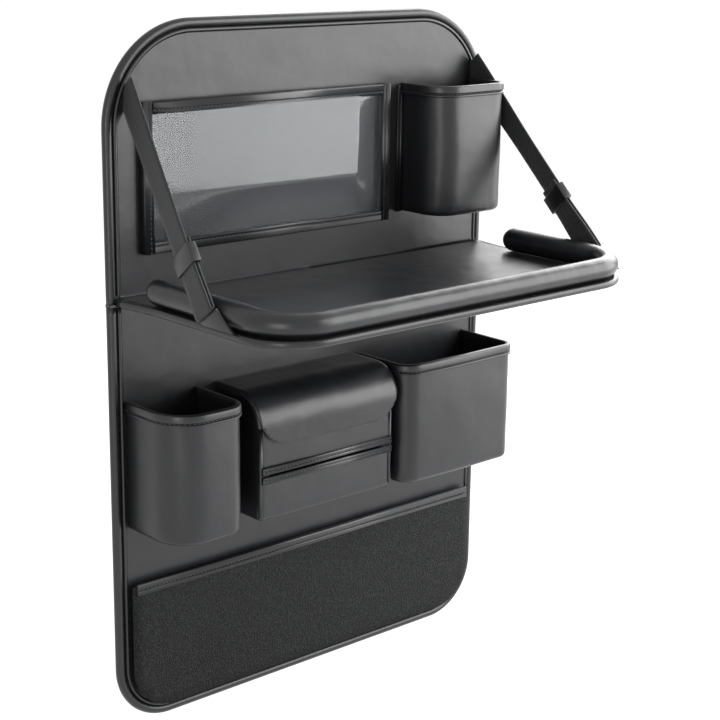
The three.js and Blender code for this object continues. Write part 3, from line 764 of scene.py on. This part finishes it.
def slit_open(bm):
    """Cuts the tissue slit out of the box's front."""
    for level in (SLIT["low"], SLIT["high"]):
        bmesh.ops.bisect_plane(bm, geom=everything(bm), plane_co=(0, 0, level), plane_no=(0, 0, 1))
    for side in (SLIT["left"], SLIT["right"]):
        bmesh.ops.bisect_plane(bm, geom=everything(bm), plane_co=(side, 0, 0), plane_no=(1, 0, 0))
    gone = []
    for face in bm.faces:
        middle = face.calc_center_median()
        across = SLIT["left"] < middle.x < SLIT["right"]
        if across and SLIT["low"] < middle.z < SLIT["high"] and middle.y < -PANEL_FACE - 20:
            gone.append(face)
    bmesh.ops.delete(bm, geom=gone, context="FACES")


def tissue_box():
    size = POCKETS["tissue_box"]
    bm = pocket_wall(size, tuck=4.0)
    slit_open(bm)
    leant_back(bm)
    wall = mesh_of(bm, "tissue_box_leather", LEATHER)
    wall_of(wall, WALL)
    dressed(wall, "panel", "leatherette", "tissue_box_wall")
    pocket_floor("tissue_box", size)
    top = FLAP["top"] - FLAP["bend"]
    front = -PANEL_FACE - size["depth"] + 0.9
    for side, x in (("left", size["left"] + 1.2), ("right", size["right"] - 1.2)):
        bm = bmesh.new()
        bmesh.ops.create_cone(
            bm, cap_ends=True, segments=12, radius1=1.9, radius2=1.9, depth=top - size["low"] - 4,
            matrix=Matrix.Translation((x, front, (top + size["low"] + 4) / 2)))
        dressed(mesh_of(bm, f"tissue_box_{side}_welt", BOUND), "panel", "binding_tape")
    slit_lips(size)


def slit_lips(size):
    """Two bound lips that nearly close the slit: a roll, a stitched groove and a thin welt."""
    front = -PANEL_FACE - size["depth"] - 2.1
    out = Vector((0, -1, 0))
    wide = Vector((size["right"] - size["left"] - 3, 0, 0))
    for name, level, turn in (("upper", SLIT["high"], 1), ("lower", SLIT["low"], -1)):
        points = [(-1.6, -1.2), (-1.6, 1.4), (1.0, 1.5), (1.6, 0.4), (2.2, 1.3), (5.0, 1.0), (5.2, -1.2)]
        start = Vector((size["left"] + 1.5, front, level))
        obj = bar(f"slit_{name}_tape", points, [0.4, 1.1, 0.7, 0.2, 0.7, 0.9, 0], start,
                  Vector((0, 0, turn)), out, wide, BOUND)
        dressed(obj, "panel", "binding_tape", f"slit_{name}_lip")
        stitched_line(f"slit_{name}_stitches", start + Vector((0, -0.5, turn * 1.6)), wide, out)


def flap_place(x, along, lift):
    """A point of the flap drawn flat: along runs from the hinge over the top and down the front."""
    bend = FLAP["bend"]
    flat = FLAP["depth"] - bend
    arc = bend * math.pi / 2
    y = -PANEL_FACE - GAP
    z = FLAP["top"]
    if along < flat:
        return Vector((x, y - along, z + lift))
    if along < flat + arc:
        angle = (along - flat) / bend
        reach = bend + lift
        return Vector((x, y - flat - reach * math.sin(angle), z - bend + reach * math.cos(angle)))
    return Vector((x, y - flat - bend - lift, z - bend - (along - flat - arc)))


def flap():
    """Padded flap with a raised bound edge between two stitched grooves, bent over the box."""
    bend = FLAP["bend"]
    long = FLAP["depth"] - bend + bend * math.pi / 2 + FLAP["drop"] - bend
    left, right = FLAP["left"], FLAP["right"]
    near, far = FLAP["corners"]
    outline = rounded([(left, 0), (left, long), (right, long), (right, 0)], [0, near, far, 0], segments=18)
    bm = sheet_of(outline, 0, Vector((0, 0, 1)))
    rings = (
        (0.6, 0.8), (0.8, 0.4), (1.6, 0.1), (1.0, -1.5), (0.5, 0), (1.0, 1.6), (1.2, 0.3), (1.0, 0),
        (1.0, -1.7), (0.5, 0), (1.2, 1.8), (2.0, 0.9), (3.0, 0.6), (4.0, 0.3),
    )
    for width, rise in rings:
        middle = max(bm.faces, key=lambda f: f.calc_area())
        bmesh.ops.inset_region(bm, faces=[middle], thickness=width, depth=rise, use_even_offset=True)
    sliced(bm, Vector((0, 1, 0)), 0, long, 2.5)
    sliced(bm, Vector((1, 0, 0)), left, right, 4)
    for vert in bm.verts:
        x, along, lift = vert.co
        crown = max(0.0, math.sin(math.pi * (x - left) / (right - left)) * math.sin(math.pi * along / long))
        free = 5 * smooth((along - FLAP_CLEAR_UNTIL) / 40) - FLAP_CLEARANCE
        lift = min(lift - FLAP_SUNK + FLAP_SUNK * crown, free)
        vert.co = flap_place(x, along, lift)
    obj = mesh_of(facing(bm, Vector((0, -0.7, 0.7))), "flap_leather", FOAMED)
    wall_of(obj, 1.4)
    dressed(obj, "flap", "leatherette", "tissue_flap")
    for name, inset in (("outer", 4.3), ("inner", 9.0)):
        seam = rounded(
            [(left + inset, inset), (left + inset, long - inset), (right - inset, long - inset),
             (right - inset, inset)], [0, near - inset, far - inset, 0], segments=18)
        row = [flap_place(p.x, p.y, FLAP_STITCH_LEVEL) for p in dense(seam, 3)]
        dressed(stitches(f"flap_{name}_stitches", row, Vector((0, -0.5, 0.5))), "flap", "leatherette")


def mesh_pocket():
    half, low, high = MESH["half"], MESH["low"], MESH["high"]
    spare = 40
    outline = rounded(
        [(-half, high + spare), (-half, low), (half, low), (half, high + spare)],
        [0, MESH["corner"], MESH["corner"], 0], segments=16)
    bm = sheet_of(outline, PANEL_FACE + 0.5, Vector((0, 0, 1)))
    puffed(bm, MESH["front"] - PANEL_FACE - 0.5, 14, 8)
    bmesh.ops.bisect_plane(
        bm, geom=everything(bm), plane_co=(0, high - 1.5, 0), plane_no=(0, 1, 0), clear_outer=True)
    sliced(bm, Vector((1, 0, 0)), -half, half, 12)
    sliced(bm, Vector((0, 1, 0)), low, high, 12)
    for vert in bm.verts:
        held = max(0.0, min(1.0, (half - abs(vert.co.x)) / 30, (vert.co.y - low) / 30))
        vert.co.z += 0.8 * held * noise.noise(vert.co * 0.012)
    obj = mesh_of(bm, "mesh_pocket_sheet", MESH_CLOTH, to_panel=True)
    wall_of(obj, 1.0)
    dressed(obj, "panel", "mesh_cloth", "mesh_pocket_cloth")
    points = [
        (0, 4.5), (0, 5.3), (8.8, 5.3), (8.8, 6.9), (0.2, 6.9), (-0.6, 8.0), (0, 8.8), (3.2, 9.0),
        (4.2, 7.6), (5.2, 9.2), (10.2, 8.6), (10.2, 4.5),
    ]
    radii = [0.1, 0.1, 0.2, 0.2, 0.1, 0.3, 0.6, 0.6, 0.3, 0.9, 1.5, 1.4]
    start = Vector((-MESH["tape_half"], -PANEL_FACE, high - 10))
    wide = Vector((2 * MESH["tape_half"], 0, 0))
    out = Vector((0, -1, 0))
    obj = bar("mesh_pocket_tape", points, radii, start, Vector((0, 0, 1)), out, wide, BOUND)
    dressed(obj, "panel", "binding_tape", "mesh_pocket_binding")
    stitched_line("mesh_pocket_stitches", start + Vector((0, -7.8, 4.2)), wide, out)


def tray_course(inset):
    """The tray's edge seen from above. It widens towards the panel, where its leather is sewn in."""
    side = TRAY_HALF - inset
    root = HALF_WIDTH - 4 - inset
    front = -TRAY_FRONT + inset
    corner = TRAY_CORNER - inset
    return rounded(
        [(-root, -TRAY_REAR), (-side, -TRAY_SHOULDER), (-side, front), (side, front),
         (side, -TRAY_SHOULDER), (root, -TRAY_REAR)],
        [0, 16, corner, corner, 16, 0], segments=20)


def tray_face(name, node, level, up):
    """One face of the tray: leatherette drawn tight over the board, rounded at its edge."""
    bm = sheet_of(tray_course(TRAY_EDGE - 0.4), level, Vector((0, 0, up)))
    obj = mesh_of(puffed(bm, TRAY_SKIN, 2.5, 5), name, LEATHER)
    return dressed(obj, "tray", "leatherette", node)


def bumper():
    """Foam roll in leatherette: thicker along the sides, with round ends and small puckers where it
    goes round the corners."""
    arm, slim = BUMPER["arm"], BUMPER["front"]
    side = TRAY_HALF - arm
    front = -TRAY_FRONT + slim
    corner = TRAY_CORNER - arm + 2
    course = dense(rounded(
        [(-side, -BUMPER["left_end"]), (-side, front), (side, front), (side, -BUMPER["right_end"])],
        [0, corner, corner, 0], segments=24), 3)
    total = sum((b - a).length for a, b in zip(course, course[1:]))
    run = 0.0
    places, radii = [], []
    for i, place in enumerate(course):
        run += (place - course[i - 1]).length if i else 0
        back = (place.y - front) / (corner * 1.4)
        thick = slim + (arm - slim) * smooth(back)
        cap = math.sqrt(max(0.0, 1 - (1 - min(1, (min(run, total - run) + 0.05) / arm)) ** 2))
        turning = 1.0 if abs(place.x) > side - corner and back < 0.8 else 0.3
        pucker = 0.018 * turning * noise.noise(Vector((run * 0.16, 0.5, 0.2)))
        places.append(Vector((place.x, place.y, TRAY_TOP + 0.2 + thick)))
        radii.append(thick * cap * (1 + pucker))
    obj = mesh_of(swept(places, circle(1.0, 28), radii=radii), "bumper_roll", FOAMED)
    dressed(obj, "tray", "leatherette", "tray_bumper")
    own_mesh(obj)


def tray_bead():
    """Bead round the tray's edge."""
    thick = TRAY_EDGE / 2
    section = rounded(
        [(thick, -thick), (thick, thick), (-thick, thick), (-thick, -thick)], [2.6] * 4, True, segments=6)
    bm = lifted(swept(dense(tray_course(thick), 6), section), TRAY_TOP - thick)
    dressed(mesh_of(bm, "tray_bead", BOUND), "tray", "leatherette", "tray_piping")


def tray_hinge():
    """Leatherette that is creased where the panel meets the tray, and goes back to the panel under
    the tray."""
    fillet = 2.5
    rear = PANEL_FACE - 0.2
    top = TRAY_TOP - 0.1
    section = [(rear, SEAM + 0.2)]
    for i in range(13):
        angle = i / 12 * math.pi / 2
        section.append((rear + fillet * (1 - math.cos(angle)), top + fillet * (1 - math.sin(angle))))
    section += [(rear + 12, top), (rear + 12, SEAM + 0.2)]
    half = HALF_WIDTH - 6
    bm = bmesh.new()
    face = bm.faces.new([bm.verts.new((-half, -y, z)) for y, z in section])
    geometry = [face]
    for _ in range(44):
        made = bmesh.ops.extrude_face_region(bm, geom=geometry)
        bmesh.ops.translate(bm, verts=fresh(made, bmesh.types.BMVert), vec=(half / 22, 0, 0))
        geometry = fresh(made, bmesh.types.BMFace)
    bmesh.ops.recalc_face_normals(bm, faces=bm.faces)
    obj = mesh_of(bm, "hinge_leather", LEATHER)
    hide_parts("tray_hinge")
    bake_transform(obj)


def strap_axes(strap):
    """A strap's top, foot, and the directions along it, across its width and outwards."""
    side = strap["sign"]
    top = Vector((side * STRAP_TOP.x, STRAP_TOP.y, STRAP_TOP.z))
    foot = Vector((side * STRAP_FOOT_SIDE, -strap["reach"], STRAP_FOOT_HEIGHT))
    along = (foot - top).normalized()
    across = Vector((side, 0, 0)).cross(along).normalized()
    out = across.cross(along).normalized()
    if out.x * side < 0:
        out.negate()
        across.negate()
    return top, foot, along, across, out


def band(name, total, place_at):
    """Webbing along a course: place_at gives the middle of its thickness and the way across it."""
    bm = bmesh.new()
    bmesh.ops.create_grid(bm, x_segments=160, y_segments=6, size=0.5)
    uv = bm.loops.layers.uv.new("UVMap")
    for face in bm.faces:
        for loop in face.loops:
            loop[uv].uv = ((loop.vert.co.x + 0.5) * total, (loop.vert.co.y + 0.5) * STRAP_WIDTH)
    for vert in bm.verts:
        middle, across = place_at((vert.co.x + 0.5) * total)
        vert.co = middle + across * (vert.co.y * STRAP_WIDTH)
    obj = mesh_of(bm, name, WEBBING)
    wall_of(obj, STRAP_THICKNESS, offset=0.0)
    return obj


def strap(side):
    """Webbing from the panel down to the tray, round its fold and back up to the slider. It is made
    for the tray in use: with the tray folded up, webbing and slider crumple and cut the tray."""
    size = STRAPS[side]
    top, foot, along, across, out = strap_axes(size)
    radius = (STRAP_DOUBLED - STRAP_THICKNESS) / 2
    straight = (foot - top).length - radius
    turn = math.pi * radius
    total = straight + turn + straight - size["slider"] + 14

    def place_at(run):
        if run < straight:
            forward, inward = run, 0.0
        elif run < straight + turn:
            angle = (run - straight) / radius
            forward, inward = straight + radius * math.sin(angle), radius * (1 - math.cos(angle))
        else:
            forward, inward = straight - (run - straight - turn), 2 * radius
        twist = math.radians(size["twist"]) * smooth(forward / 110)
        twist *= 1 - 0.6 * smooth((forward - 170) / 40)
        turned_across = across * math.cos(twist) + out * math.sin(twist)
        turned_out = out * math.cos(twist) - across * math.sin(twist)
        axis = top + along * forward + out * (STRAP_THICKNESS / 2 - radius)
        return axis + turned_out * (radius - inward), turned_across

    obj = band(f"{side}_webbing", total, place_at)
    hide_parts(f"{side}_strap")
    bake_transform(obj)
    buckle = softened(f"{side}_slider", f"{side}_adjuster", 0.7, ACETAL)
    middle = Matrix.Translation((top + along * size["slider"]) * MM)
    spin = Matrix.Rotation(math.radians(-size["twist"]), 4, along)
    buckle.data.transform(middle @ spin @ middle.inverted())
    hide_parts(f"{side}_slider")
    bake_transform(buckle)
    tab = softened(f"{side}_tab", f"{side}_loop_tab", 0.6, BOUND)
    dressed(tab, "tray", "leatherette", f"{side}_tab")


def hanger():
    """Webbing behind the upper board, sewn down at both ends and free between them."""
    half, sewn = HANGER["half"], HANGER["sewn"]

    def place_at(run):
        lift = HANGER["lift"] * smooth((min(run, 2 * half - run) - sewn) / sewn)
        back = HANGER["back"] + lift + STRAP_THICKNESS / 2
        return Vector((run - half, back, HANGER["level"])), Vector((0, 0, -1))

    obj = band("hanging_webbing", 2 * half, place_at)
    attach(obj, "panel")
    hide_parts("hanging_strap")
    slider = softened("hanging_slider", "hanging_adjuster", 0.6, ACETAL)
    dressed(slider, "panel", "slider_plastic", "hanging_slider")


def softened(node, name, width, material):
    """A copy of a rigid node with its edges rounded."""
    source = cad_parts[node]
    bm = bmesh.new()
    bm.from_mesh(source.data)
    bm.transform(source.matrix_world)
    bmesh.ops.remove_doubles(bm, verts=bm.verts, dist=1e-5)
    bmesh.ops.dissolve_limit(bm, angle_limit=0.02, verts=bm.verts, edges=bm.edges)
    sharp = [e for e in bm.edges if len(e.link_faces) == 2 and e.calc_face_angle() > 0.5]
    bmesh.ops.bevel(bm, geom=sharp, offset=width * MM, offset_type="OFFSET", segments=2, profile=0.5,
                    affect="EDGES", material=-1)
    mesh = bpy.data.meshes.new(name)
    bm.to_mesh(mesh)
    bm.free()
    return link(name, mesh, material)


def recoat(node, material):
    """Gives a CAD node that stays its finish."""
    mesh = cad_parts[node].data
    mesh.materials.clear()
    mesh.materials.append(material)


def studio():
    """Plain pale surroundings, one broad soft light at the front right and a slim one at the left."""
    bpy.ops.mesh.primitive_plane_add(size=60, location=(0, 0, CAD_BOX[0][2] - 0.002))
    floor = bpy.context.object
    floor.name = "floor"
    floor.data.materials.append(studio_floor())
    world = bpy.data.worlds.new("studio")
    bpy.context.scene.world = world
    world.use_nodes = True
    tree = world.node_tree
    tree.nodes.clear()
    strength = add(tree, "ShaderNodeMapRange", {
        "Value": seen_or_mirrored(tree), "To Min": FILL_LIGHT, "To Max": 1.0})
    background = add(tree, "ShaderNodeBackground", {
        "Color": (1, 1, 1, 1), "Strength": strength.outputs["Result"]})
    add(tree, "ShaderNodeOutputWorld", {"Surface": background.outputs[0]})
    softbox("key_softbox", azimuth=51, height=16, distance=1.9, size=(2.2, 1.5), radiance=5.3)
    softbox("right_softbox", azimuth=106, height=28, distance=1.9, size=(1.4, 1.2), radiance=6.0)
    softbox("left_strip", azimuth=-56, height=4, distance=1.8, size=(0.4, 1.1), radiance=4.5)


def softbox(name, azimuth, height, distance, size, radiance):
    """A soft light seen from the object's middle, azimuth counted from the passenger towards +X."""
    lamp = bpy.data.lights.new(name, "AREA")
    lamp.shape = "RECTANGLE"
    lamp.size, lamp.size_y = size
    lamp.energy = radiance * math.pi * size[0] * size[1]
    obj = bpy.data.objects.new(name, lamp)
    bpy.context.scene.collection.objects.link(obj)
    turn, rise = math.radians(azimuth), math.radians(height)
    toward = Vector((math.sin(turn) * math.cos(rise), -math.cos(turn) * math.cos(rise), math.sin(rise)))
    obj.location = toward * distance
    obj.rotation_euler = toward.to_track_quat("Z", "Y").to_euler()


def camera():
    data = bpy.data.cameras.new("camera")
    data.lens = CAMERA_LENS
    data.sensor_width = SENSOR
    obj = bpy.data.objects.new("camera", data)
    bpy.context.scene.collection.objects.link(obj)
    backward = CAMERA_RIGHT.cross(CAMERA_UP)
    turned = Matrix((CAMERA_RIGHT, CAMERA_UP, backward)).transposed().to_4x4()
    obj.matrix_world = Matrix.Translation(CAMERA_PLACE) @ turned
    bpy.context.scene.camera = obj


camera()
studio()
bpy.context.scene.view_settings.view_transform = "Standard"

for half in ("upper", "lower"):
    cover(half)
    backing(half)
    board_edges(half)
    recoat(f"{half}_stiffener", FIBRE_BOARD)
recoat("tray_board", FIBRE_BOARD)
seam_fold()
window()
upper_cup()
pocket("left_cup")
pocket("box_pocket")
tissue_box()
flap()
mesh_pocket()
tray_face("tray_top_leather", "tray_top_skin", TRAY_TOP - TRAY_SKIN, 1)
tray_face("tray_underside_leather", "tray_bottom_skin", TRAY_TOP - TRAY_EDGE + TRAY_SKIN, -1)
tray_bead()
bumper()
tray_hinge()
strap("left")
strap("right")
hanger()
